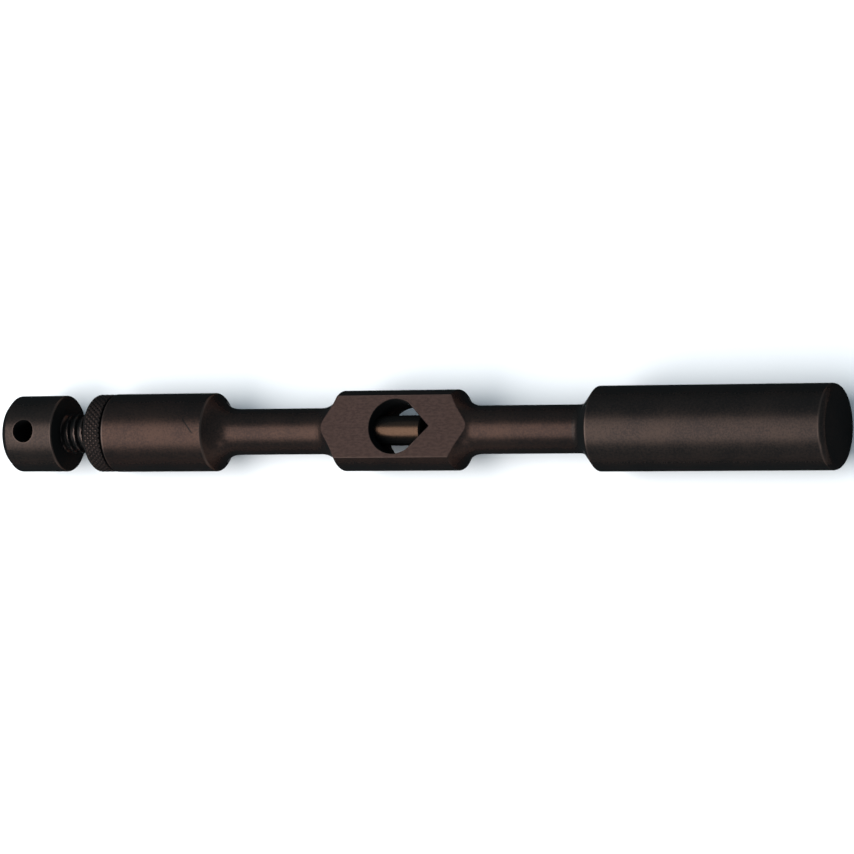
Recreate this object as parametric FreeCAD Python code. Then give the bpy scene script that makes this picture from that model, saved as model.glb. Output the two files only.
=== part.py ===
"""Adjustable bar wrench: a turned steel bar with a vee work opening, closed by a screw-driven round jaw.

Millimetres. X runs along the bar towards the plain handle, and Z along the axis of the work opening.
The origin is on the bar's axis, at the centre of the round part of the opening.
"""
import FreeCAD
import Part
import math
import os

# Centre boss with its two flats and the work opening
boss_radius = 12.7
boss_left_x = -20.35
boss_right_x = 19.25
boss_left_slope = 59.0
boss_left_fillet = 9.0
boss_right_slope = 56.0
boss_right_fillet = 8.0
flat_height = 7.94
opening_radius = 8.65
vee_depth = 11.95

# The bars on each side of the boss
left_bar_radius = 7.3
right_bar_radius = 7.6
left_bar_end_x = -73.0
right_bar_end_x = 100.0

# Left barrel, which houses the screw
left_barrel_radius = 12.5
left_barrel_mouth_x = -101.75
left_barrel_full_x = -65.9
left_barrel_slope = 60.0
left_barrel_fillet = 9.0
mouth_chamfer = 0.5

# Right barrel, the plain handle
right_barrel_radius = 13.3
right_barrel_full_x = 67.3
right_barrel_slope = 50.0
right_barrel_fillet = 4.5
right_barrel_end_x = 145.9
right_end_round = 2.0
barrel_lip = 0.3

# Jaw rod and its guide bore
rod_radius = 4.76
rod_clearance = 0.04
rod_tip_x = 7.4
rod_tip_chamfer = 0.5
rod_shoulder_x = -76.0
tail_radius = 3.0
tail_end_x = -86.0
groove_x = -80.0
groove_width = 1.7
groove_radius = 2.2

# Clamp screw, plain at its thread's outside diameter
screw_radius = 6.35
thread_clearance = 0.05
socket_clearance = 0.05
ball_radius = 1.5
swivel_pin_radius = 0.8
swivel_pin_half_length = 4.9
knob_spigot_radius = 5.0
knob_spigot_end_x = -125.8

# Knob with its tommy bar hole
knob_radius = 12.25
knob_face_x = -139.1
knob_back_x = -119.9
knob_face_chamfer = 2.2
knob_back_chamfer = 0.7
tommy_hole_x = -130.25
tommy_hole_radius = 3.7
tommy_hole_tilt = 5.4
knob_pin_x = -122.7
knob_pin_radius = 1.2
knob_pin_half_length = 11.95

# Knurled lock ring and the washer under it
ring_radius = 12.42
ring_left_x = -108.7
ring_right_x = -102.55
ring_chamfer = 1.0
ring_back_chamfer = 0.3
washer_radius = 11.4
washer_bore_radius = 6.8

# Dowel pins that hold the barrels on the bars
left_pin_x = -69.4
left_pin_radius = 1.2
left_pin_inner_z = -5.2
right_pin_x = 84.0
right_pin_radius = 1.5
right_pin_inner_z = -3.0
pin_sink = 0.35


def point(x, radius):
    """A point of a turned profile, in the XZ half plane above the axis."""
    return FreeCAD.Vector(x, 0, radius)


def turned(points):
    """Revolve a closed profile, given as (x, radius) pairs, about the bar's axis."""
    corners = [point(x, radius) for x, radius in points]
    face = Part.Face(Part.makePolygon(corners + corners[:1]))
    return face.revolve(FreeCAD.Vector(0, 0, 0), FreeCAD.Vector(1, 0, 0), 360)


def turned_edges(edges):
    """Revolve a closed profile of line and arc edges about the bar's axis."""
    face = Part.Face(Part.Wire(edges))
    return face.revolve(FreeCAD.Vector(0, 0, 0), FreeCAD.Vector(1, 0, 0), 360)


def line(start, end):
    return Part.makeLine(point(*start), point(*end))


def arc(start, middle, end):
    return Part.Arc(point(*start), point(*middle), point(*end)).toShape()


def shoulder(full_x, full_radius, bar_radius, slope, fillet, side):
    """Edges from a full radius down to a bar: a steep slope, then a concave fillet. Side is 1 towards +X."""
    angle = math.radians(slope)
    corner_x = full_x + side * (full_radius - bar_radius) / math.tan(angle)
    reach = fillet * math.tan(angle / 2)
    foot_x = corner_x + side * reach
    start = (corner_x - side * reach * math.cos(angle), bar_radius + reach * math.sin(angle))
    middle = (foot_x - side * fillet * math.sin(angle / 2), bar_radius + fillet * (1 - math.cos(angle / 2)))
    foot = (foot_x, bar_radius)
    return [line((full_x, full_radius), start), arc(start, middle, foot)], foot_x


def rod(radius, start_x, end_x):
    """A cylinder along the bar's axis."""
    return Part.makeCylinder(radius, end_x - start_x, FreeCAD.Vector(start_x, 0, 0), FreeCAD.Vector(1, 0, 0))


def cross_rod(radius, x, z, half_length):
    """A cylinder along Y, centred on the bar's mid plane."""
    start = FreeCAD.Vector(x, -half_length, z)
    return Part.makeCylinder(radius, 2 * half_length, start, FreeCAD.Vector(0, 1, 0))


def upright_rod(radius, x, low_z, high_z):
    """A cylinder along Z."""
    return Part.makeCylinder(radius, high_z - low_z, FreeCAD.Vector(x, 0, low_z))


def work_opening():
    """The through opening: a round bore that runs out into a 90 degree vee on the right."""
    gap = math.sqrt(2 * opening_radius ** 2 - vee_depth ** 2)
    corner_x = (vee_depth - gap) / 2
    corner_y = vee_depth - corner_x
    low_z = -boss_radius
    upper = FreeCAD.Vector(corner_x, corner_y, low_z)
    lower = FreeCAD.Vector(corner_x, -corner_y, low_z)
    root = FreeCAD.Vector(vee_depth, 0, low_z)
    wall = FreeCAD.Vector(-opening_radius, 0, low_z)
    edges = [
        Part.Arc(upper, wall, lower).toShape(),
        Part.makeLine(lower, root),
        Part.makeLine(root, upper),
    ]
    return Part.Face(Part.Wire(edges)).extrude(FreeCAD.Vector(0, 0, 2 * boss_radius))


def centre_body():
    """Left guide tube, flatted boss and right bar, turned from one bar."""
    left_shoulder, left_foot_x = shoulder(
        boss_left_x, boss_radius, left_bar_radius, boss_left_slope, boss_left_fillet, -1
    )
    right_shoulder, right_foot_x = shoulder(
        boss_right_x, boss_radius, right_bar_radius, boss_right_slope, boss_right_fillet, 1
    )
    edges = [
        line((left_bar_end_x, 0), (left_bar_end_x, left_bar_radius)),
        line((left_bar_end_x, left_bar_radius), (left_foot_x, left_bar_radius)),
        *reversed(left_shoulder),
        line((boss_left_x, boss_radius), (boss_right_x, boss_radius)),
        *right_shoulder,
        line((right_foot_x, right_bar_radius), (right_bar_end_x, right_bar_radius)),
        line((right_bar_end_x, right_bar_radius), (right_bar_end_x, 0)),
        line((right_bar_end_x, 0), (left_bar_end_x, 0)),
    ]
    body = turned_edges(edges)
    length = right_foot_x - left_foot_x
    depth = boss_radius - flat_height
    for low_z in (flat_height, -boss_radius):
        corner = FreeCAD.Vector(left_foot_x, -boss_radius, low_z)
        body = body.cut(Part.makeBox(length, 2 * boss_radius, depth, corner))
    body = body.cut(work_opening())
    body = body.cut(rod(rod_radius + rod_clearance, left_bar_end_x, 0))
    body = body.cut(left_pin())
    return body.cut(right_pin())


def left_pin():
    """Dowel from underneath, through the left barrel into the wall of the guide tube."""
    return upright_rod(left_pin_radius, left_pin_x, pin_sink - left_barrel_radius, left_pin_inner_z)


def right_pin():
    """Dowel from underneath, through the right barrel into the right bar."""
    return upright_rod(right_pin_radius, right_pin_x, pin_sink - right_barrel_radius, right_pin_inner_z)


def left_barrel():
    """Screw housing, pressed over the end of the guide tube."""
    bore_radius = screw_radius + thread_clearance
    nose_radius = left_bar_radius + barrel_lip
    mouth_x = left_barrel_mouth_x
    blend, nose_x = shoulder(
        left_barrel_full_x, left_barrel_radius, nose_radius, left_barrel_slope, left_barrel_fillet, 1
    )
    edges = [
        line((mouth_x, bore_radius), (mouth_x, left_barrel_radius - mouth_chamfer)),
        line((mouth_x, left_barrel_radius - mouth_chamfer), (mouth_x + mouth_chamfer, left_barrel_radius)),
        line((mouth_x + mouth_chamfer, left_barrel_radius), (left_barrel_full_x, left_barrel_radius)),
        *blend,
        line((nose_x, nose_radius), (nose_x, left_bar_radius)),
        line((nose_x, left_bar_radius), (left_bar_end_x, left_bar_radius)),
        line((left_bar_end_x, left_bar_radius), (left_bar_end_x, bore_radius)),
        line((left_bar_end_x, bore_radius), (mouth_x, bore_radius)),
    ]
    return turned_edges(edges).cut(left_pin_hole())


def left_pin_hole():
    return upright_rod(left_pin_radius, left_pin_x, -left_barrel_radius, left_pin_inner_z)


def right_pin_hole():
    return upright_rod(right_pin_radius, right_pin_x, -right_barrel_radius, right_pin_inner_z)


def right_barrel():
    """Plain handle, pressed over the end of the right bar."""
    nose_radius = right_bar_radius + barrel_lip
    blend, nose_x = shoulder(
        right_barrel_full_x, right_barrel_radius, nose_radius, right_barrel_slope, right_barrel_fillet, -1
    )
    round_x = right_barrel_end_x - right_end_round
    bulge = right_end_round * math.sqrt(0.5)
    edges = [
        line((nose_x, right_bar_radius), (nose_x, nose_radius)),
        *reversed(blend),
        line((right_barrel_full_x, right_barrel_radius), (round_x, right_barrel_radius)),
        arc(
            (round_x, right_barrel_radius),
            (round_x + bulge, right_barrel_radius - right_end_round + bulge),
            (right_barrel_end_x, right_barrel_radius - right_end_round),
        ),
        line((right_barrel_end_x, right_barrel_radius - right_end_round), (right_barrel_end_x, 0)),
        line((right_barrel_end_x, 0), (right_bar_end_x, 0)),
        line((right_bar_end_x, 0), (right_bar_end_x, right_bar_radius)),
        line((right_bar_end_x, right_bar_radius), (nose_x, right_bar_radius)),
    ]
    return turned_edges(edges).cut(right_pin_hole())


def jaw_rod():
    """Round jaw with a grooved tail that turns in the screw's socket."""
    groove_end_x = groove_x + groove_width
    return turned([
        (tail_end_x, 0),
        (tail_end_x, tail_radius),
        (groove_x, tail_radius),
        (groove_x, groove_radius),
        (groove_end_x, groove_radius),
        (groove_end_x, tail_radius),
        (rod_shoulder_x, tail_radius),
        (rod_shoulder_x, rod_radius),
        (rod_tip_x - rod_tip_chamfer, rod_radius),
        (rod_tip_x, rod_radius - rod_tip_chamfer),
        (rod_tip_x, 0),
    ])


def thrust_ball():
    """Hardened ball between the rod's tail and the bottom of the screw's socket."""
    return Part.makeSphere(ball_radius, FreeCAD.Vector(tail_end_x - ball_radius, 0, 0))


def swivel_pins():
    """Two pins across the rod's groove, which draw the rod back with the screw."""
    x = groove_x + groove_width / 2
    z = groove_radius + swivel_pin_radius + socket_clearance
    pins = [cross_rod(swivel_pin_radius, x, side * z, swivel_pin_half_length) for side in (-1, 1)]
    return Part.makeCompound(pins)


def clamp_screw():
    """Screw with a socket for the rod's tail and a spigot for the knob."""
    socket_end_x = tail_end_x - 2 * ball_radius
    shaft = rod(screw_radius, knob_back_x, rod_shoulder_x - 0.1)
    shaft = shaft.fuse(rod(knob_spigot_radius, knob_spigot_end_x, knob_back_x))
    shaft = shaft.cut(rod(tail_radius + socket_clearance, socket_end_x, rod_shoulder_x))
    for pin in swivel_pins().Solids:
        shaft = shaft.cut(pin)
    return shaft.cut(knob_pin()).removeSplitter()


def clamp_knob():
    """Round knob with a hole right through it for a tommy bar."""
    knob = turned([
        (knob_face_x, 0),
        (knob_face_x, knob_radius - knob_face_chamfer),
        (knob_face_x + knob_face_chamfer, knob_radius),
        (knob_back_x - knob_back_chamfer, knob_radius),
        (knob_back_x, knob_radius - knob_back_chamfer),
        (knob_back_x, knob_spigot_radius),
        (knob_spigot_end_x, knob_spigot_radius),
        (knob_spigot_end_x, 0),
    ])
    tommy_hole = upright_rod(tommy_hole_radius, tommy_hole_x, -knob_radius - 1, knob_radius + 1)
    tommy_hole.rotate(FreeCAD.Vector(0, 0, 0), FreeCAD.Vector(1, 0, 0), tommy_hole_tilt)
    knob = knob.cut(tommy_hole)
    return knob.cut(cross_rod(knob_pin_radius, knob_pin_x, 0, knob_radius))


def knob_pin():
    """Cross pin that fixes the knob on the screw's spigot."""
    return cross_rod(knob_pin_radius, knob_pin_x, 0, knob_pin_half_length)


def lock_ring():
    """Knurled ring on the screw, which is turned against the barrel to lock the setting."""
    bore_radius = screw_radius + thread_clearance
    return turned([
        (ring_left_x, bore_radius),
        (ring_left_x, ring_radius - ring_chamfer),
        (ring_left_x + ring_chamfer, ring_radius),
        (ring_right_x - ring_back_chamfer, ring_radius),
        (ring_right_x, ring_radius - ring_back_chamfer),
        (ring_right_x, bore_radius),
    ])


def lock_washer():
    """Plain washer between the lock ring and the barrel's mouth."""
    return turned([
        (ring_right_x, washer_bore_radius),
        (ring_right_x, washer_radius),
        (left_barrel_mouth_x, washer_radius),
        (left_barrel_mouth_x, washer_bore_radius),
    ])


parts = {
    "centre_body": centre_body,
    "left_barrel": left_barrel,
    "right_barrel": right_barrel,
    "left_barrel_pin": left_pin,
    "right_barrel_pin": right_pin,
    "jaw_rod": jaw_rod,
    "thrust_ball": thrust_ball,
    "swivel_pins": swivel_pins,
    "clamp_screw": clamp_screw,
    "clamp_knob": clamp_knob,
    "knob_pin": knob_pin,
    "lock_ring": lock_ring,
    "lock_washer": lock_washer,
}

os.makedirs("parts", exist_ok=True)
for name, make in parts.items():
    shape = make()
    shape.exportStep("parts/" + name + ".step")
    print(name, "valid", shape.isValid(), "volume", round(shape.Volume, 1), "solids", len(shape.Solids))
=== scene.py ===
import math

import bmesh
import bpy
from mathutils import Matrix, Vector


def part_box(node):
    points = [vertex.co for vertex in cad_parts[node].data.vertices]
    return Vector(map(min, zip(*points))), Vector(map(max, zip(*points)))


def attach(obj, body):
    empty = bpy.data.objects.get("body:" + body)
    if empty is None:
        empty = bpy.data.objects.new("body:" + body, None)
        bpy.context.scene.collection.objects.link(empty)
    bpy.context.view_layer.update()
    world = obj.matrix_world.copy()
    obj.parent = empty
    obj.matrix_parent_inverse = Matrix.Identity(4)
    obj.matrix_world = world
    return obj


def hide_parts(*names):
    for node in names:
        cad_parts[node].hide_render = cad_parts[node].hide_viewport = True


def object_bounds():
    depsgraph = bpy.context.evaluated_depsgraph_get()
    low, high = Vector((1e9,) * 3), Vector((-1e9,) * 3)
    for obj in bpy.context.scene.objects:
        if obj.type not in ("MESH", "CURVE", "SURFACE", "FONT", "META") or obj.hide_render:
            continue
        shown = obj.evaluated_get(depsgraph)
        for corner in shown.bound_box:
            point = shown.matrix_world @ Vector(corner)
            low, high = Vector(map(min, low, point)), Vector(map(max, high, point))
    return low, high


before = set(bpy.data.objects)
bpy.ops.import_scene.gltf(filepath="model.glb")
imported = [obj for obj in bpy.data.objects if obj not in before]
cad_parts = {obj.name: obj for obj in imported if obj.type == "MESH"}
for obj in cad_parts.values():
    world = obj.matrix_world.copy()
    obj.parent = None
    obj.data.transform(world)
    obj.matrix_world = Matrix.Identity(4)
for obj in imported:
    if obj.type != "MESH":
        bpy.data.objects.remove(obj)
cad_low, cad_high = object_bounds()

# ---- Centre body -------------------------------------------------------------------------------
# The left guide tube, the flatted boss and the right bar are turned from one length of steel bar.
# The boss's two sides are then milled flat, the work opening is bored and broached, and the jaw's
# guide bore is drilled in from the left. It is oxidised brown-black, like all but the jaw, pins and ball.

MM = 0.001
ARC_STEPS = 8


def rounded(corners):
    """The (x, radius) points of a turned outline whose corners, (x, radius, fillet), are rounded."""
    points = []
    for index, (x, radius, fillet) in enumerate(corners):
        here = Vector((x, radius))
        if fillet == 0:
            points.append(here)
            continue
        before = Vector(corners[index - 1][:2]) - here
        after = Vector(corners[(index + 1) % len(corners)][:2]) - here
        half_angle = before.angle(after) / 2
        reach = fillet / math.tan(half_angle)
        inwards = (before.normalized() + after.normalized()).normalized()
        middle = here + inwards * fillet / math.sin(half_angle)
        start = here + before.normalized() * reach - middle
        end = here + after.normalized() * reach - middle
        turn = start.angle_signed(end)
        for step in range(ARC_STEPS + 1):
            points.append(middle + Matrix.Rotation(-turn * step / ARC_STEPS, 2) @ start)
    return points


def close_up(mesh, gap=0.002 * MM):
    """Merge doubled points and turn every face outwards."""
    work = bmesh.new()
    work.from_mesh(mesh)
    bmesh.ops.remove_doubles(work, verts=work.verts, dist=gap)
    bmesh.ops.dissolve_degenerate(work, edges=work.edges, dist=gap / 2)
    bmesh.ops.recalc_face_normals(work, faces=work.faces)
    work.to_mesh(mesh)
    work.free()


def piece_from_rings(name, rings, closed=False):
    """Skin a row of equal rings of points, in millimetres, into a piece."""
    columns = len(rings[0])
    points = [Vector(point) * MM for ring in rings for point in ring]
    rows = len(rings) if closed else len(rings) - 1
    faces = []
    for row in range(rows):
        for column in range(columns):
            first, second = row * columns, (row + 1) % len(rings) * columns
            beside = (column + 1) % columns
            faces.append((first + column, first + beside, second + beside, second + column))
    mesh = bpy.data.meshes.new(name)
    mesh.from_pydata(points, [], faces)
    close_up(mesh)
    piece = bpy.data.objects.new(name, mesh)
    bpy.context.scene.collection.objects.link(piece)
    return piece


def turned(name, outline, columns=144, closed=False):
    """Turn an outline of (x, radius) points about the wrench's axis."""
    rings = []
    for x, radius in outline:
        angles = [2 * math.pi * column / columns for column in range(columns)]
        rings.append([(x, radius * math.sin(angle), radius * math.cos(angle)) for angle in angles])
    return piece_from_rings(name, rings, closed)


def bored(piece, *cutters):
    """Cut the cutters' shapes out of a piece, and remove them."""
    for cutter in cutters:
        cut = piece.modifiers.new("bore", "BOOLEAN")
        cut.operation = "DIFFERENCE"
        cut.solver = "EXACT"
        cut.object = cutter
    settle(piece)
    for cutter in cutters:
        bpy.data.objects.remove(cutter)


def settle(piece):
    """Make a piece's modifiers final, leaving a plain mesh."""
    evaluated = piece.evaluated_get(bpy.context.evaluated_depsgraph_get())
    mesh = bpy.data.meshes.new_from_object(evaluated)
    piece.modifiers.clear()
    piece.data = mesh


def smooth(piece, sharp_angle=28):
    """Smooth shading, broken only at real edges, that keeps wide faces flat."""
    piece.data.shade_smooth()
    piece.data.set_sharp_from_angle(angle=math.radians(sharp_angle))
    weigh = piece.modifiers.new("weigh", "WEIGHTED_NORMAL")
    weigh.keep_sharp = True
    weigh.weight = 100
    settle(piece)


def drill(radius, start, end, columns=96):
    """A round cutter from one point to another, in millimetres."""
    axis = (Vector(end) - Vector(start)).normalized()
    side = axis.orthogonal().normalized()
    across = axis.cross(side)
    ring = []
    for column in range(columns):
        angle = 2 * math.pi * column / columns
        ring.append(side * radius * math.cos(angle) + across * radius * math.sin(angle))
    rings = [[Vector(place) + point * size for point in ring]
             for place, size in ((start, 0), (start, 1), (end, 1), (end, 0))]
    return piece_from_rings("cutter", rings)


body_low, body_high = (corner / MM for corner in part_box("centre_body"))
FLAT_HEIGHT = body_high.z
BOSS_RADIUS = 12.7
FLAT_EDGE_Y = math.sqrt(BOSS_RADIUS ** 2 - FLAT_HEIGHT ** 2)
BOSS_LEFT, BOSS_RIGHT = -20.35, 19.25
LEFT_BAR_RADIUS = 7.3
RIGHT_BAR_RADIUS = 7.6
FLAT_EDGE_ROUND = 0.22
ROW_LENGTH = 0.22
FLAT_COLUMNS, EDGE_COLUMNS, SIDE_COLUMNS = 8, 4, 40


def boss_section(x, radius):
    """One ring of the bar: a circle, cut by the two flats where it is wider than they are."""
    edge = min(FLAT_EDGE_ROUND, radius / 4)
    if radius > FLAT_HEIGHT:
        half_flat = math.sqrt((radius - FLAT_HEIGHT) * (radius + FLAT_HEIGHT - 2 * edge))
        corner_angle = math.atan2(half_flat, FLAT_HEIGHT - edge)
    else:
        half_flat = corner_angle = 0.0
    quarter = []
    for step in range(FLAT_COLUMNS):
        quarter.append((half_flat * step / FLAT_COLUMNS, min(FLAT_HEIGHT, radius)))
    for step in range(EDGE_COLUMNS):
        angle = corner_angle * step / EDGE_COLUMNS
        level = min(FLAT_HEIGHT, radius) - edge
        quarter.append((half_flat + edge * math.sin(angle), level + edge * math.cos(angle)))
    for step in range(SIDE_COLUMNS + 1):
        angle = corner_angle + (math.pi / 2 - corner_angle) * step / SIDE_COLUMNS
        quarter.append((radius * math.sin(angle), radius * math.cos(angle)))
    half = quarter + [(y, -z) for y, z in reversed(quarter[:-1])]
    ring = half + [(-y, z) for y, z in reversed(half[1:-1])]
    return [(x, y, z) for y, z in ring]


def opening_outline(grow):
    """The work opening's outline: an arc run out into a 90 degree vee, grown outwards all round."""
    radius = OPENING_RADIUS + grow
    root = VEE_DEPTH + grow * math.sqrt(2)
    corner_x = (root - math.sqrt(2 * radius ** 2 - root ** 2)) / 2
    start = math.atan2(root - corner_x, corner_x)
    outline = [(root, 0.0)]
    for step in range(OPENING_STEPS + 1):
        angle = start + (2 * math.pi - 2 * start) * step / OPENING_STEPS
        outline.append((radius * math.cos(angle), radius * math.sin(angle)))
    return outline


OPENING_RADIUS = 8.65
VEE_DEPTH = 11.95
OPENING_STEPS = 72
OPENING_CHAMFER = 0.18
GUIDE_BORE_RADIUS = 4.8
GUIDE_BORE_END = -1.0
BOSS_LEFT_SLOPE, BOSS_LEFT_FILLET = 59, 9.0
BOSS_RIGHT_SLOPE, BOSS_RIGHT_FILLET = 56, 8.0


def foot(full_x, full_radius, bar_radius, slope, side):
    """Where a shoulder's slope, in degrees, meets the bar; side is 1 towards the right."""
    return full_x + side * (full_radius - bar_radius) / math.tan(math.radians(slope))


boss_left_foot = foot(BOSS_LEFT, BOSS_RADIUS, LEFT_BAR_RADIUS, BOSS_LEFT_SLOPE, -1)
boss_right_foot = foot(BOSS_RIGHT, BOSS_RADIUS, RIGHT_BAR_RADIUS, BOSS_RIGHT_SLOPE, 1)
body_outline = rounded([
    (body_low.x, 0, 0),
    (body_low.x, LEFT_BAR_RADIUS, 0.3),
    (boss_left_foot, LEFT_BAR_RADIUS, BOSS_LEFT_FILLET),
    (BOSS_LEFT, BOSS_RADIUS, 0.5),
    (BOSS_RIGHT, BOSS_RADIUS, 0.6),
    (boss_right_foot, RIGHT_BAR_RADIUS, BOSS_RIGHT_FILLET),
    (body_high.x, RIGHT_BAR_RADIUS, 0.3),
    (body_high.x, 0, 0),
])
body_rings = []
for start, end in zip(body_outline, body_outline[1:]):
    near_boss = BOSS_LEFT - BOSS_LEFT_FILLET < start.x and end.x < BOSS_RIGHT + BOSS_RIGHT_FILLET
    long_run = near_boss and abs(end.y - start.y) > ROW_LENGTH
    pieces_of_run = max(1, round((end - start).length / ROW_LENGTH)) if long_run else 1
    for step in range(pieces_of_run):
        x, radius = start.lerp(end, step / pieces_of_run)
        body_rings.append(boss_section(x, radius))
body_rings.append(boss_section(*body_outline[-1]))
centre_body = piece_from_rings("centre_body_shell", body_rings)

beyond = 2.0
opening_levels = [
    (-FLAT_HEIGHT - beyond, beyond + OPENING_CHAMFER),
    (-FLAT_HEIGHT + OPENING_CHAMFER, 0),
    (FLAT_HEIGHT - OPENING_CHAMFER, 0),
    (FLAT_HEIGHT + beyond, beyond + OPENING_CHAMFER),
]
opening_rings = [[(x, y, z) for x, y in opening_outline(grow)] for z, grow in opening_levels]
opening_caps = [[(0, 0, ring[0][2])] * len(ring) for ring in (opening_rings[0], opening_rings[-1])]
opening_cutter = piece_from_rings("cutter", [opening_caps[0], *opening_rings, opening_caps[1]])
guide_cutter = drill(GUIDE_BORE_RADIUS, (body_low.x - beyond, 0, 0), (GUIDE_BORE_END, 0, 0))
bored(centre_body, opening_cutter, guide_cutter)
smooth(centre_body)


class Reading:
    """A value that a node gives out, which can be added, scaled and compared like a number."""

    def __init__(self, bench, socket):
        self.bench = bench
        self.socket = socket

    def __add__(self, other):
        return self.bench.sum("ADD", self, other)

    def __sub__(self, other):
        return self.bench.sum("SUBTRACT", self, other)

    def __rsub__(self, other):
        return self.bench.sum("SUBTRACT", other, self)

    def __mul__(self, other):
        return self.bench.sum("MULTIPLY", self, other)

    def __truediv__(self, other):
        return self.bench.sum("DIVIDE", self, other)

    def __rtruediv__(self, other):
        return self.bench.sum("DIVIDE", other, self)

    def __pow__(self, other):
        return self.bench.sum("POWER", self, other)

    def __gt__(self, other):
        return self.bench.sum("GREATER_THAN", self, other)

    __radd__ = __add__
    __rmul__ = __mul__


class Bench:
    """A node tree, and the one way that nodes are put in it."""

    def __init__(self, tree):
        self.tree = tree

    def node(self, kind, settings=None, sockets=None, output=0):
        """Put in a node; a socket given a reading is linked to it, and any other value is set."""
        made = self.tree.nodes.new(kind)
        for name, value in (settings or {}).items():
            setattr(made, name, value)
        for name, value in (sockets or {}).items():
            if isinstance(value, Reading):
                self.tree.links.new(value.socket, made.inputs[name])
            else:
                made.inputs[name].default_value = value
        return Reading(self, made.outputs[output]) if made.outputs else None

    def sum(self, operation, first, second=0.0):
        """One step of arithmetic on readings or numbers."""
        return self.node("ShaderNodeMath", {"operation": operation}, {0: first, 1: second})

    def band(self, value, low, high):
        """0 below low and 1 above high, with a soft step between."""
        return self.node(
            "ShaderNodeMapRange",
            {"interpolation_type": "SMOOTHSTEP"},
            {"Value": value, "From Min": low, "From Max": high},
        )

    def blend(self, factor, first, second):
        """One colour laid over another by a factor."""
        sockets = {0: factor, 6: first, 7: second}
        return self.node("ShaderNodeMix", {"data_type": "RGBA"}, sockets, output=2)

    def noise(self, place, scale, detail=3.0, stretch=(1, 1, 1)):
        """Noise over the piece, its grain stretched along the axes; scale is in grains per metre."""
        placed = self.node("ShaderNodeMapping", None, {"Vector": place, "Scale": stretch})
        return self.node("ShaderNodeTexNoise", None, {"Vector": placed, "Scale": scale, "Detail": detail})


OXIDE_DARK = (0.0138, 0.0088, 0.0076, 1)
OXIDE_BROWN = (0.0270, 0.0156, 0.0120, 1)
RUBBED_STEEL = (0.060, 0.042, 0.035, 1)


def oxide(name, dark=OXIDE_DARK, brown=OXIDE_BROWN, gloss=0.38):
    """Start a brown-black oxide finish: returns its bench, its shader and the readings it is built on."""
    material = bpy.data.materials.new(name)
    material.use_nodes = True
    bench = Bench(material.node_tree)
    shader = material.node_tree.nodes["Principled BSDF"]
    shader.inputs["Metallic"].default_value = 1.0
    shader.inputs["Specular Tint"].default_value = (0, 0, 0, 1)
    shader.inputs["Sheen Weight"].default_value = 0.011
    shader.inputs["Sheen Roughness"].default_value = 1.0
    shader.inputs["Sheen Tint"].default_value = (0.85, 0.97, 1.0, 1)
    place = bench.node("ShaderNodeTexCoord", output=3)
    cloud = bench.noise(place, 90)
    fleck = bench.noise(place, 1900, detail=2.0)
    grain = bench.noise(place, 5200, detail=1.0)
    tone = bench.blend(bench.band(cloud * 0.35 + fleck * 0.65, 0.36, 0.64), dark, brown)
    rough = gloss + (cloud - 0.5) * 0.10 + (fleck - 0.5) * 0.12
    return material, bench, shader, place, tone, rough, grain


def rubbed_rims(bench, x, radius, tone, rims):
    """Lay rubbed steel over a tone along worn rims, given as (x, radius, width) in millimetres."""
    for rim_x, rim_radius, width in rims:
        from_rim = bench.sum("SQRT", (x - rim_x * MM) ** 2 + (radius - rim_radius * MM) ** 2)
        worn = 1 - bench.band(from_rim, width * 0.3 * MM, width * MM)
        tone = bench.blend(worn * 0.55, tone, RUBBED_STEEL)
    return tone


def finish(bench, shader, tone, rough, height, depth):
    """Connect a finish's colour, roughness and surface relief; depth is in metres."""
    relief = bench.node("ShaderNodeBump", None, {"Strength": 1.0, "Distance": depth, "Height": height})
    for name, reading in (("Base Color", tone), ("Roughness", rough), ("Normal", relief)):
        bench.tree.links.new(reading.socket, shader.inputs[name])


def parts_of(bench, place):
    """The x, y and z of a point on the piece, and its distance from the wrench's axis."""
    split = bench.node("ShaderNodeSeparateXYZ", None, {0: place})
    x, y, z = (Reading(bench, output) for output in split.socket.node.outputs)
    return x, y, z, bench.sum("SQRT", y * y + z * z)


def body_finish():
    """Turning marks round the bars, and finely milled, more matte flats with broken edges."""
    material, bench, shader, place, tone, rough, grain = oxide("body_oxide")
    x, y, z, radius = parts_of(bench, place)
    on_flat = bench.sum("ABSOLUTE", z) > (FLAT_HEIGHT - 0.03) * MM
    turning = bench.noise(place, 2600, detail=2.0, stretch=(1, 0.02, 0.02))
    milling = bench.noise(place, 1500, detail=3.0, stretch=(0.45, 1, 1))
    marks = turning + (milling - turning) * on_flat
    mottle = bench.band(milling * 0.8 + grain * 0.2, 0.38, 0.62)
    milled = bench.blend(mottle, (0.0165, 0.0101, 0.0089, 1), (0.0268, 0.0164, 0.0139, 1))
    flat_tone = bench.blend(on_flat * 0.7, tone, milled)
    from_edge = FLAT_EDGE_Y * MM - bench.sum("ABSOLUTE", y)
    from_opening = bench.sum("SQRT", x * x + y * y) - OPENING_RADIUS * MM
    broken = 1 - bench.band(bench.sum("MINIMUM", from_edge, from_opening), 0.05 * MM, 0.35 * MM)
    worn_tone = bench.blend(broken * on_flat * 0.3, flat_tone, RUBBED_STEEL)
    finish(bench, shader, worn_tone, rough + on_flat * 0.06, marks * 0.6 + grain * 0.4, 0.004 * MM)
    return material


def wear(piece, material, body, slot, *nodes):
    """Give a piece its finish, put it on its body and stand it in for the plain nodes."""
    piece.data.materials.clear()
    piece.data.materials.append(material)
    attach(piece, body)
    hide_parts(*nodes)


wear(centre_body, body_finish(), "bar", "oxide_body", "centre_body")

# ---- Left barrel -------------------------------------------------------------------------------
# The screw housing and left grip: a steel sleeve, bored from its mouth on the left to take the screw,
# pressed over the end of the guide tube and pinned from underneath. Its nose is blended into the bar.

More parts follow.
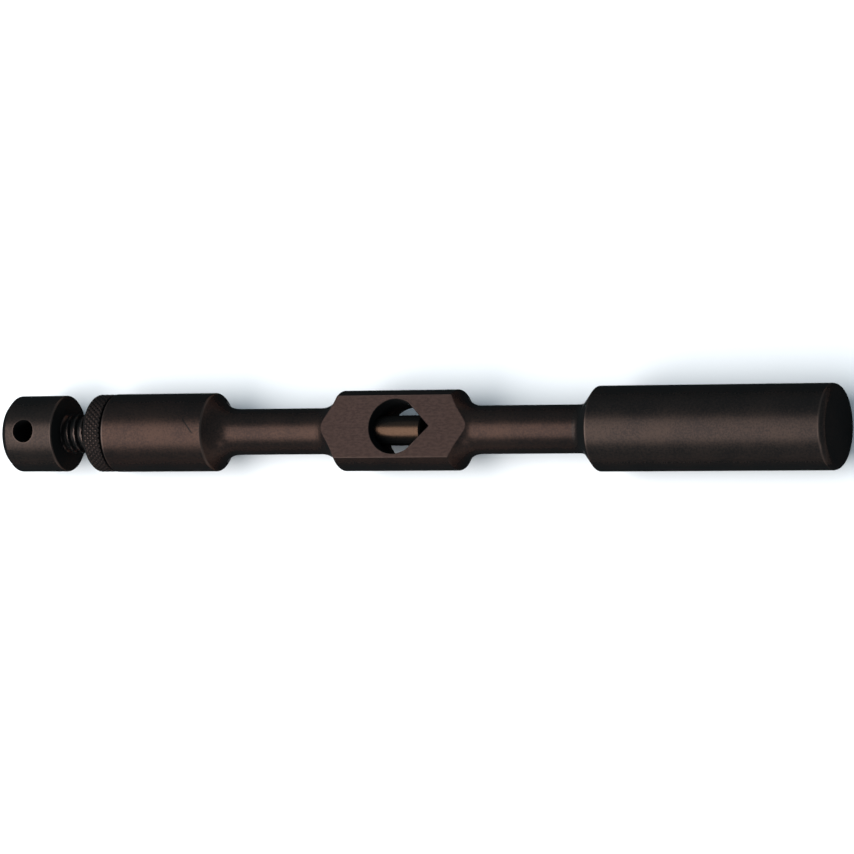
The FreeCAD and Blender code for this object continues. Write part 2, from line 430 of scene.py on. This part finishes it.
left_low, left_high = (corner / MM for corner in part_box("left_barrel"))
LEFT_RADIUS = left_high.z
LEFT_FULL_X = -65.9
LEFT_SLOPE = 60
LEFT_FILLET = 8.6
LEFT_LIP = 0.03
LEFT_NOSE_RADIUS = LEFT_BAR_RADIUS + LEFT_LIP
LEFT_FOOT = foot(LEFT_FULL_X, LEFT_RADIUS, LEFT_NOSE_RADIUS, LEFT_SLOPE, 1)
THREAD_BORE_RADIUS = 6.4
TUBE_END = body_low.x
PIN_CLEARANCE = 0.03
PIN_COLUMNS = 32
CLEAR_OF_PIECE = 15

left_barrel = turned("left_barrel_sleeve", rounded([
    (left_low.x, THREAD_BORE_RADIUS, 0.3),
    (left_low.x, LEFT_RADIUS, 0.35),
    (LEFT_FULL_X, LEFT_RADIUS, 0.7),
    (LEFT_FOOT, LEFT_NOSE_RADIUS, LEFT_FILLET),
    (left_high.x, LEFT_NOSE_RADIUS, 0),
    (left_high.x, LEFT_BAR_RADIUS, 0),
    (TUBE_END, LEFT_BAR_RADIUS, 0),
    (TUBE_END, THREAD_BORE_RADIUS, 0),
]), closed=True)
pin_low, pin_high = (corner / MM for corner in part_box("left_barrel_pin"))
left_pin_x = (pin_low.x + pin_high.x) / 2
left_pin_radius = (pin_high.x - pin_low.x) / 2
left_pin_start, left_pin_end = (left_pin_x, 0, -CLEAR_OF_PIECE), (left_pin_x, 0, pin_high.z)
bored(left_barrel, drill(left_pin_radius + PIN_CLEARANCE, left_pin_start, left_pin_end, PIN_COLUMNS))
smooth(left_barrel)


def scratched(bench, along, around, ends, width):
    """1 in a straight scratch and 0 off it, its ends given along and around the piece in millimetres."""
    (start_x, start_s), (end_x, end_s) = ends
    run_x, run_s = (end_x - start_x) * MM, (end_s - start_s) * MM
    from_x, from_s = along - start_x * MM, around - start_s * MM
    share = (from_x * run_x + from_s * run_s) / (run_x ** 2 + run_s ** 2)
    share = bench.sum("MINIMUM", bench.sum("MAXIMUM", share, 0.0), 1.0)
    off_x = from_x - share * run_x
    off_s = from_s - share * run_s
    off = bench.sum("SQRT", off_x * off_x + off_s * off_s)
    return 1 - bench.band(off, width * 0.3 * MM, width * MM)


def barrel_finish(name, rims, scratch=None, hole=None, dark=OXIDE_DARK, brown=OXIDE_BROWN):
    """Fine turning marks round a grip, rubbed brighter along its rims and round its hole."""
    material, bench, shader, place, tone, rough, grain = oxide(name, dark, brown)
    x, y, z, radius = parts_of(bench, place)
    turning = bench.noise(place, 3000, detail=2.0, stretch=(1, 0.015, 0.015))
    height = turning * 0.6 + grain * 0.4
    worn_tone = rubbed_rims(bench, x, radius, tone, rims)
    if scratch:
        around = bench.sum("ARCTAN2", y, z) * radius
        cut = scratched(bench, x, around, scratch, 0.32)
        worn_tone = bench.blend(cut * 0.9, worn_tone, (0.004, 0.004, 0.004, 1))
        height = height - cut * 2
    if hole:
        hole_x, hole_radius, tilt = hole
        across = y + z * math.tan(tilt)
        from_axis = x - hole_x * MM
        from_hole = bench.sum("SQRT", from_axis * from_axis + across * across) - hole_radius * MM
        rim = 1 - bench.band(bench.sum("ABSOLUTE", from_hole), 0.1 * MM, 0.4 * MM)
        worn_tone = bench.blend(rim * 0.35, worn_tone, RUBBED_STEEL)
    finish(bench, shader, worn_tone, rough, height, 0.004 * MM)
    return material


left_finish = barrel_finish("left_barrel_oxide", [
    (left_low.x + 0.2, LEFT_RADIUS, 0.6),
    (LEFT_FULL_X + 0.1, LEFT_RADIUS - 0.1, 0.6),
], scratch=((-72.4, 2.2), (-68.9, -2.2)))
wear(left_barrel, left_finish, "bar", "oxide_barrel", "left_barrel")

# ---- Right barrel ------------------------------------------------------------------------------
# The plain grip: a solid steel barrel bored from its left end, pressed on the right bar and pinned
# from underneath. Its left shoulder is turned to a cone and its far end is rounded over.

right_low, right_high = (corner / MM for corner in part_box("right_barrel"))
RIGHT_RADIUS = right_high.y - 0.001
RIGHT_FULL_X = 67.3
RIGHT_SLOPE = 50
RIGHT_FILLET = 4.0
RIGHT_END_ROUND = 2.0
RIGHT_LIP = 0.03
RIGHT_NOSE_RADIUS = RIGHT_BAR_RADIUS + RIGHT_LIP
RIGHT_FOOT = foot(RIGHT_FULL_X, RIGHT_RADIUS, RIGHT_NOSE_RADIUS, RIGHT_SLOPE, -1)
GREYER_DARK = (0.0123, 0.0092, 0.0084, 1)
GREYER_BROWN = (0.0240, 0.0163, 0.0133, 1)

right_barrel = turned("right_barrel_grip", rounded([
    (right_low.x, RIGHT_BAR_RADIUS, 0),
    (right_low.x, RIGHT_NOSE_RADIUS, 0),
    (RIGHT_FOOT, RIGHT_NOSE_RADIUS, RIGHT_FILLET),
    (RIGHT_FULL_X, RIGHT_RADIUS, 0.4),
    (right_high.x, RIGHT_RADIUS, RIGHT_END_ROUND),
    (right_high.x, 0, 0),
    (body_high.x, 0, 0),
    (body_high.x, RIGHT_BAR_RADIUS, 0),
]), closed=True)
pin_low, pin_high = (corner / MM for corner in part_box("right_barrel_pin"))
right_pin_x = (pin_low.x + pin_high.x) / 2
right_pin_radius = (pin_high.x - pin_low.x) / 2
right_pin_start, right_pin_end = (right_pin_x, 0, -CLEAR_OF_PIECE), (right_pin_x, 0, pin_high.z)
bored(right_barrel, drill(right_pin_radius + PIN_CLEARANCE, right_pin_start, right_pin_end, PIN_COLUMNS))
smooth(right_barrel)
right_finish = barrel_finish("right_barrel_oxide", [
    (RIGHT_FULL_X, RIGHT_RADIUS, 0.6),
    (right_high.x - 1.7, RIGHT_RADIUS, 0.45),
], dark=GREYER_DARK, brown=GREYER_BROWN)
wear(right_barrel, right_finish, "bar", "oxide_barrel", "right_barrel")

# ---- Clamp knob --------------------------------------------------------------------------------
# The drilled head of the clamp screw: a turned steel cylinder with a through hole for a tommy bar,
# fixed on the screw's spigot by a cross pin.

knob_low, knob_high = (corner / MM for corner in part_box("clamp_knob"))
KNOB_RADIUS = knob_high.z
KNOB_CHAMFER = 2.2
SPIGOT_RADIUS = 5.0
SPIGOT_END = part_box("clamp_screw")[0].x / MM
TOMMY_X = -130.25
TOMMY_RADIUS = 3.7
TOMMY_TILT = math.radians(5.4)

clamp_knob = turned("clamp_knob_head", rounded([
    (knob_low.x, 0, 0),
    (knob_low.x, KNOB_RADIUS - KNOB_CHAMFER, 0.8),
    (knob_low.x + KNOB_CHAMFER, KNOB_RADIUS, 1.0),
    (knob_high.x, KNOB_RADIUS, 0.6),
    (knob_high.x, SPIGOT_RADIUS, 0),
    (SPIGOT_END, SPIGOT_RADIUS, 0),
    (SPIGOT_END, 0, 0),
]), closed=True)
pin_low, pin_high = (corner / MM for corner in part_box("knob_pin"))
knob_pin_x = (pin_low.x + pin_high.x) / 2
knob_pin_radius = (pin_high.x - pin_low.x) / 2
hole_middle = Vector((TOMMY_X, 0, 0))
hole_end = Vector((0, -math.sin(TOMMY_TILT), math.cos(TOMMY_TILT))) * CLEAR_OF_PIECE
knob_pin_start, knob_pin_end = (knob_pin_x, -CLEAR_OF_PIECE, 0), (knob_pin_x, CLEAR_OF_PIECE, 0)
bored(
    clamp_knob,
    drill(TOMMY_RADIUS, hole_middle - hole_end, hole_middle + hole_end),
    drill(knob_pin_radius + PIN_CLEARANCE, knob_pin_start, knob_pin_end, PIN_COLUMNS),
)
smooth(clamp_knob)
knob_finish = barrel_finish(
    "knob_oxide", [(knob_high.x - 0.3, KNOB_RADIUS, 0.5)],
    hole=(TOMMY_X, TOMMY_RADIUS, TOMMY_TILT), dark=GREYER_DARK, brown=GREYER_BROWN,
)
wear(clamp_knob, knob_finish, "screw", "oxide_knob", "clamp_knob")

# ---- Clamp screw -------------------------------------------------------------------------------
# A coarse right-hand square-topped thread, cut on a steel shaft. Its inner end is bored to take the
# jaw rod's tail, and its outer spigot carries the knob. The thread is oiled and a little worn on top.

screw_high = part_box("clamp_screw")[1] / MM
SCREW_RADIUS = screw_high.z
THREAD_PITCH = 2.54
THREAD_DEPTH = 1.2
SOCKET_RADIUS = 3.05
SOCKET_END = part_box("thrust_ball")[0].x / MM
THREAD_ROWS_PER_TURN = 14
SAME_PLACE = 0.01
CREST_MARGIN = 0.02 * MM


def subdivided(outline, low_x, high_x, radius, row):
    """Split the run of an outline that lies at a radius between two places into short rows."""
    points = []
    for start, end in zip(outline, outline[1:] + outline[:1]):
        at_radius = max(abs(start.y - radius), abs(end.y - radius)) < SAME_PLACE
        past_low = min(start.x, end.x) >= low_x - SAME_PLACE
        before_high = max(start.x, end.x) <= high_x + SAME_PLACE
        on_run = at_radius and past_low and before_high
        rows = max(1, round(abs(end.x - start.x) / row)) if on_run else 1
        for step in range(rows):
            points.append(start.lerp(end, step / rows))
    return points


screw_outline = rounded([
    (SPIGOT_END, 0, 0),
    (SPIGOT_END, SPIGOT_RADIUS, 0.2),
    (knob_high.x, SPIGOT_RADIUS, 0),
    (knob_high.x, SCREW_RADIUS, 0),
    (screw_high.x, SCREW_RADIUS, 0.4),
    (screw_high.x, SOCKET_RADIUS, 0.2),
    (SOCKET_END, SOCKET_RADIUS, 0),
    (SOCKET_END, 0, 0),
])
clamp_screw = turned(
    "clamp_screw_shaft",
    subdivided(screw_outline, knob_high.x, screw_high.x, SCREW_RADIUS, THREAD_PITCH / THREAD_ROWS_PER_TURN),
    columns=72,
    closed=True,
)


def relief_tree(name, inputs):
    """A geometry node group with named inputs, and the readings that a relief on a turned piece needs."""
    tree = bpy.data.node_groups.new(name, "GeometryNodeTree")
    tree.interface.new_socket("Geometry", in_out="INPUT", socket_type="NodeSocketGeometry")
    for label, value in inputs.items():
        item = tree.interface.new_socket(label, in_out="INPUT", socket_type="NodeSocketFloat")
        item.default_value = value
    tree.interface.new_socket("Material", in_out="INPUT", socket_type="NodeSocketMaterial")
    tree.interface.new_socket("Geometry", in_out="OUTPUT", socket_type="NodeSocketGeometry")
    bench = Bench(tree)
    given = bench.node("NodeGroupInput").socket.node
    readings = {output.name: Reading(bench, output) for output in given.outputs if output.name}
    split = bench.node("ShaderNodeSeparateXYZ", None, {0: bench.node("GeometryNodeInputPosition")})
    x, y, z = (Reading(bench, output) for output in split.socket.node.outputs)
    radius = bench.sum("SQRT", y * y + z * z)
    turn = bench.sum("ARCTAN2", z, y) / (2 * math.pi)
    return bench, readings, x, y, z, radius, turn


def pressed_in(bench, given, y, z, radius, depth):
    """Sink the surface towards the axis by a depth, and end the tree."""
    share = depth / radius
    offset = bench.node("ShaderNodeCombineXYZ", None, {"X": 0.0, "Y": y * share * -1, "Z": z * share * -1})
    moved = bench.node("GeometryNodeSetPosition", None, {"Geometry": given["Geometry"], "Offset": offset})
    real = bench.node("GeometryNodeRealizeInstances", None, {"Geometry": moved})
    coated = bench.node("GeometryNodeSetMaterial", None, {"Geometry": real, "Material": given["Material"]})
    bench.node("NodeGroupOutput", None, {"Geometry": coated})
    return bench.tree


def carve(piece, tree, material, **sizes):
    """Run a relief tree on a piece with its sizes, in metres, and keep the plain mesh."""
    relief = piece.modifiers.new("relief", "NODES")
    relief.node_group = tree
    labels = {item.name: item.identifier for item in tree.interface.items_tree if item.in_out == "INPUT"}
    for label, value in sizes.items():
        relief[labels[label.replace("_", " ").capitalize()]] = value
    relief[labels["Material"]] = material
    settle(piece)


def thread_tree():
    """A helical groove with sloping sides, between a start and an end along the axis."""
    bench, given, x, y, z, radius, turn = relief_tree("cut_thread", {
        "Pitch": THREAD_PITCH * MM, "Depth": THREAD_DEPTH * MM, "Crest": SCREW_RADIUS * MM,
        "Start": knob_high.x * MM, "End": screw_high.x * MM,
    })
    phase = bench.sum("FRACT", x / given["Pitch"] - turn)
    from_middle = bench.sum("ABSOLUTE", phase - 0.5)
    groove = bench.band(from_middle, 0.14, 0.27)
    run_in = bench.band(x, given["Start"], given["Start"] + given["Pitch"] * 0.5)
    run_out = 1 - bench.band(x, given["End"] - given["Pitch"] * 0.4, given["End"])
    on_crest = radius > given["Crest"] - CREST_MARGIN
    depth = given["Depth"] * groove * run_in * run_out * on_crest
    return pressed_in(bench, given, y, z, radius, depth)


def screw_finish():
    """Oiled black thread: much darker towards the root, rubbed brighter along the crest."""
    material, bench, shader, place, tone, rough, grain = oxide("screw_oxide", gloss=0.30)
    x, y, z, radius = parts_of(bench, place)
    crest = bench.band(radius, (SCREW_RADIUS - 0.25) * MM, SCREW_RADIUS * MM)
    root = 1 - bench.band(radius, (SCREW_RADIUS - THREAD_DEPTH) * MM, (SCREW_RADIUS - 0.5) * MM)
    worn = bench.blend(crest * 0.3, tone, (0.032, 0.029, 0.028, 1))
    # Darker towards the root of the thread, by depth.
    darker_deep = bench.blend(root * 0.85, worn, (0.006, 0.006, 0.006, 1))
    finish(bench, shader, darker_deep, rough - crest * 0.05 + root * 0.15, grain, 0.004 * MM)
    return material


screw_material = screw_finish()
carve(
    clamp_screw, thread_tree(), screw_material,
    pitch=THREAD_PITCH * MM, depth=THREAD_DEPTH * MM, crest=SCREW_RADIUS * MM,
    start=knob_high.x * MM, end=screw_high.x * MM,
)
smooth(clamp_screw, 50)
wear(clamp_screw, screw_material, "screw", "oxide_screw", "clamp_screw")

# ---- Lock ring ---------------------------------------------------------------------------------
# A diamond-knurled steel ring on the screw, spun up by hand against the washer to lock the screw. The
# knurl is rolled in by two crossed wheels, so that its diamonds stand proud. Its bore is left plain.

ring_low, ring_high = (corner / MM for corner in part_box("lock_ring"))
RING_RADIUS = ring_high.z
KNURL_LENGTH = 1.85
KNURL_COUNT = 47
KNURL_DEPTH = 0.34
KNURL_ROW = 0.13
RING_COLUMNS = KNURL_COUNT * 12
OUTER_CHAMFER, INNER_CHAMFER = 0.9, 0.35

ring_outline = rounded([
    (ring_low.x, THREAD_BORE_RADIUS, 0.3),
    (ring_low.x, RING_RADIUS - OUTER_CHAMFER, 0.3),
    (ring_low.x + OUTER_CHAMFER, RING_RADIUS, 0),
    (ring_high.x - INNER_CHAMFER, RING_RADIUS, 0),
    (ring_high.x, RING_RADIUS - INNER_CHAMFER, 0),
    (ring_high.x, THREAD_BORE_RADIUS, 0.3),
])
lock_ring = turned(
    "lock_ring_knurled",
    subdivided(ring_outline, ring_low.x, ring_high.x, RING_RADIUS, KNURL_ROW),
    columns=RING_COLUMNS,
    closed=True,
)


def knurl_tree():
    """Two crossed sets of vee grooves round the ring, which leave diamonds standing."""
    bench, given, x, y, z, radius, turn = relief_tree("roll_knurl", {
        "Diamond": KNURL_LENGTH * MM, "Count": float(KNURL_COUNT),
        "Depth": KNURL_DEPTH * MM, "Crest": RING_RADIUS * MM,
    })
    along = x / given["Diamond"]
    round_the_ring = turn * given["Count"]
    left_hand = bench.sum("ABSOLUTE", bench.sum("FRACT", round_the_ring + along) - 0.5)
    right_hand = bench.sum("ABSOLUTE", bench.sum("FRACT", round_the_ring - along) - 0.5)
    furthest = bench.sum("MAXIMUM", left_hand, right_hand)
    groove = bench.band(furthest, 0.16, 0.52)
    on_crest = radius > given["Crest"] - CREST_MARGIN
    return pressed_in(bench, given, y, z, radius, given["Depth"] * groove * on_crest)


def knurl_finish():
    """Darker towards the bottom of the knurl's grooves, and tips that hands have rubbed."""
    material, bench, shader, place, tone, rough, grain = oxide("knurl_oxide", gloss=0.40)
    x, y, z, radius = parts_of(bench, place)
    tip = bench.band(radius, (RING_RADIUS - 0.12) * MM, (RING_RADIUS - 0.01) * MM)
    pit = 1 - bench.band(radius, (RING_RADIUS - KNURL_DEPTH) * MM, (RING_RADIUS - 0.1) * MM)
    rubbed = bench.blend(tip * 0.2, tone, (0.024, 0.022, 0.021, 1))
    # Darker towards the bottom of the grooves, by depth.
    darker_deep = bench.blend(pit * 0.6, rubbed, (0.007, 0.007, 0.0075, 1))
    finish(bench, shader, darker_deep, rough - tip * 0.06 + pit * 0.2, grain, 0.003 * MM)
    return material


ring_material = knurl_finish()
carve(
    lock_ring, knurl_tree(), ring_material,
    diamond=KNURL_LENGTH * MM, count=float(KNURL_COUNT), depth=KNURL_DEPTH * MM, crest=RING_RADIUS * MM,
)
smooth(lock_ring, 60)
wear(lock_ring, ring_material, "ring", "oxide_ring", "lock_ring")

# ---- Lock washer -------------------------------------------------------------------------------
# A thin plain washer under the lock ring, smaller than the ring, so that a dark line shows between
# the ring and the barrel. It is a flat disc with a hole, rough, and its colour is darkened towards
# black as painted shade for that line.

washer_low, washer_high = (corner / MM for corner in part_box("lock_washer"))
WASHER_BORE_RADIUS = 6.8

lock_washer = turned("lock_washer_plain", rounded([
    (washer_low.x, WASHER_BORE_RADIUS, 0.1),
    (washer_low.x, washer_high.z, 0.15),
    (washer_high.x, washer_high.z, 0.15),
    (washer_high.x, WASHER_BORE_RADIUS, 0.1),
]), closed=True)
smooth(lock_washer)


def washer_finish():
    """Rougher than the turned pieces, its colour darkened towards black as painted shade for the line
    between ring and barrel.
    """
    material, bench, shader, place, tone, rough, grain = oxide("washer_oxide", gloss=0.55)
    # Painted shade: the oxide is darkened towards black here, for the dark line between ring and barrel.
    painted_shade_darkening = bench.blend(0.6, tone, (0.006, 0.006, 0.0065, 1))
    finish(bench, shader, painted_shade_darkening, rough, grain, 0.006 * MM)
    return material


wear(lock_washer, washer_finish(), "washer", "oxide_washer", "lock_washer")

# ---- Jaw rod -----------------------------------------------------------------------------------
# The round jaw that closes the opening: ground steel, tempered to a straw brown. Its grooved tail
# turns in the end of the screw, and its flat tip bears on the work.

rod_low, rod_high = (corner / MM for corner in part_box("jaw_rod"))
ROD_RADIUS = 4.76
TAIL_RADIUS = 3.0
GROOVE_X, GROOVE_WIDTH, GROOVE_RADIUS = -80.0, 1.7, 2.2
ROD_SHOULDER = -76.0
ROD_CHAMFER = 0.5

jaw_rod = turned("jaw_rod_round", rounded([
    (rod_low.x, 0, 0),
    (rod_low.x, TAIL_RADIUS, 0.3),
    (GROOVE_X, TAIL_RADIUS, 0.1),
    (GROOVE_X, GROOVE_RADIUS, 0.1),
    (GROOVE_X + GROOVE_WIDTH, GROOVE_RADIUS, 0.1),
    (GROOVE_X + GROOVE_WIDTH, TAIL_RADIUS, 0.1),
    (ROD_SHOULDER, TAIL_RADIUS, 0.2),
    (ROD_SHOULDER, ROD_RADIUS, 0.3),
    (rod_high.x - ROD_CHAMFER, ROD_RADIUS, 0.15),
    (rod_high.x, ROD_RADIUS - ROD_CHAMFER, 0.15),
    (rod_high.x, 0, 0),
]))
smooth(jaw_rod)


def jaw_finish():
    """Grinding lines round a straw-brown tempered rod."""
    straw, bronze = (0.0365, 0.0208, 0.0132, 1), (0.0265, 0.0150, 0.0096, 1)
    material, bench, shader, place, tone, rough, grain = oxide("jaw_temper", bronze, straw, gloss=0.30)
    grinding = bench.noise(place, 6000, detail=2.0, stretch=(1, 0.02, 0.02))
    finish(bench, shader, tone, rough, grinding * 0.7 + grain * 0.3, 0.003 * MM)
    return material


wear(jaw_rod, jaw_finish(), "jaw", "jaw_steel", "jaw_rod")

# ---- Pins and thrust ball ----------------------------------------------------------------------
# Ground dowels hold the barrels and the knob, two short pins cross the jaw rod's groove, and a
# hardened ball takes the thrust between the rod and the screw. The dowels' ends are oxide-toned.


def pin_finish(name, dark, light, gloss):
    """Ground pin steel, with a fine even grain."""
    material, bench, shader, place, tone, rough, grain = oxide(name, dark, light, gloss)
    finish(bench, shader, tone, rough, grain, 0.003 * MM)
    return material


dowel_material = pin_finish("dowel_steel", (0.018, 0.017, 0.016, 1), (0.036, 0.033, 0.030, 1), 0.32)
bright_material = pin_finish("bright_steel", (0.28, 0.28, 0.29, 1), (0.40, 0.40, 0.41, 1), 0.22)
for node_name in ("left_barrel_pin", "right_barrel_pin", "knob_pin"):
    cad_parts[node_name].data.materials[0] = dowel_material
for node_name in ("swivel_pins", "thrust_ball"):
    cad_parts[node_name].data.materials[0] = bright_material

# ---- Floor, light and camera -------------------------------------------------------------------
# The wrench lies on a plain white table, under one broad soft light from its left, and is seen from
# above. A small low light in front picks out the shoulders, and the room lightens the shadows.

TABLE_HALF = 4.0
TABLE_GAP = 0.1 * MM

table_corners = [(x * TABLE_HALF, y * TABLE_HALF, 0) for x, y in ((-1, -1), (1, -1), (1, 1), (-1, 1))]
floor_mesh = bpy.data.meshes.new("table_top")
floor_mesh.from_pydata(table_corners, [], [(0, 1, 2, 3)])
floor_mesh.transform(Matrix.Translation((0, 0, cad_low.z - TABLE_GAP)))
floor = bpy.data.objects.new("table_top", floor_mesh)
bpy.context.scene.collection.objects.link(floor)
paint = bpy.data.materials.new("table_white")
paint.use_nodes = True
paint_bench = Bench(paint.node_tree)
paint_shader = paint.node_tree.nodes["Principled BSDF"]
paint_shader.inputs["Specular IOR Level"].default_value = 0.1
paint_place = paint_bench.node("ShaderNodeTexCoord", output=3)
paint_cloud = paint_bench.noise(paint_place, 6)
paint_tone = paint_bench.blend(paint_cloud, (0.89, 0.89, 0.89, 1), (0.91, 0.91, 0.91, 1))
paint_tooth = paint_bench.noise(paint_place, 900)
finish(paint_bench, paint_shader, paint_tone, paint_cloud * 0.1 + 0.8, paint_tooth, 0.01 * MM)
floor_mesh.materials.append(paint)

world = bpy.data.worlds.new("studio")
world.use_nodes = True
world.node_tree.nodes["Background"].inputs["Color"].default_value = (0.70, 0.87, 1.0, 1)
world.node_tree.nodes["Background"].inputs["Strength"].default_value = 0.50
bpy.context.scene.world = world


def area_light(name, lean, distance, width, height, power):
    """A flat light that faces the origin from a direction, its height laid along Y."""
    lean = Vector(lean).normalized()
    side = Vector((0, 1, 0)).cross(lean).normalized()
    light = bpy.data.lights.new(name, "AREA")
    light.shape = "RECTANGLE"
    light.size = width
    light.size_y = height
    light.energy = power
    lamp = bpy.data.objects.new(name, light)
    turn = Matrix((side, lean.cross(side), lean)).transposed().to_4x4()
    lamp.matrix_world = Matrix.Translation(lean * distance) @ turn
    bpy.context.scene.collection.objects.link(lamp)


area_light("soft_box", (-0.53, -0.25, 0.81), 1.25, 1.0, 1.35, 27)
area_light("window", (0.20, -0.87, 0.45), 1.2, 0.3, 0.3, 1.8)

CAMERA_YAW = math.radians(25.57)
CAMERA_TILT = math.radians(-9.05)
CAMERA_ROLL = math.radians(3.76)
CAMERA_DISTANCE = 1.758
AIM_OFFSET = Vector((0.00715, 0.00109))
SENSOR = 36.0
FIELD_TANGENT = 0.07626

back = Vector((
    math.sin(CAMERA_YAW) * math.cos(CAMERA_TILT),
    math.sin(CAMERA_TILT),
    math.cos(CAMERA_YAW) * math.cos(CAMERA_TILT),
))
level = Vector((math.cos(CAMERA_YAW), 0, -math.sin(CAMERA_YAW)))
upright = back.cross(level)
right = level * math.cos(CAMERA_ROLL) + upright * math.sin(CAMERA_ROLL)
up = upright * math.cos(CAMERA_ROLL) - level * math.sin(CAMERA_ROLL)
eye = right * AIM_OFFSET.x + up * AIM_OFFSET.y + back * CAMERA_DISTANCE
lens = bpy.data.cameras.new("studio_camera")
lens.sensor_width = SENSOR
lens.lens = SENSOR / 2 / FIELD_TANGENT
lens.clip_start = 0.05
lens.clip_end = 20
camera = bpy.data.objects.new("studio_camera", lens)
camera.matrix_world = Matrix.Translation(eye) @ Matrix((right, up, back)).transposed().to_4x4()
bpy.context.scene.collection.objects.link(camera)
bpy.context.scene.camera = camera
bpy.context.scene.view_settings.view_transform = "Standard"
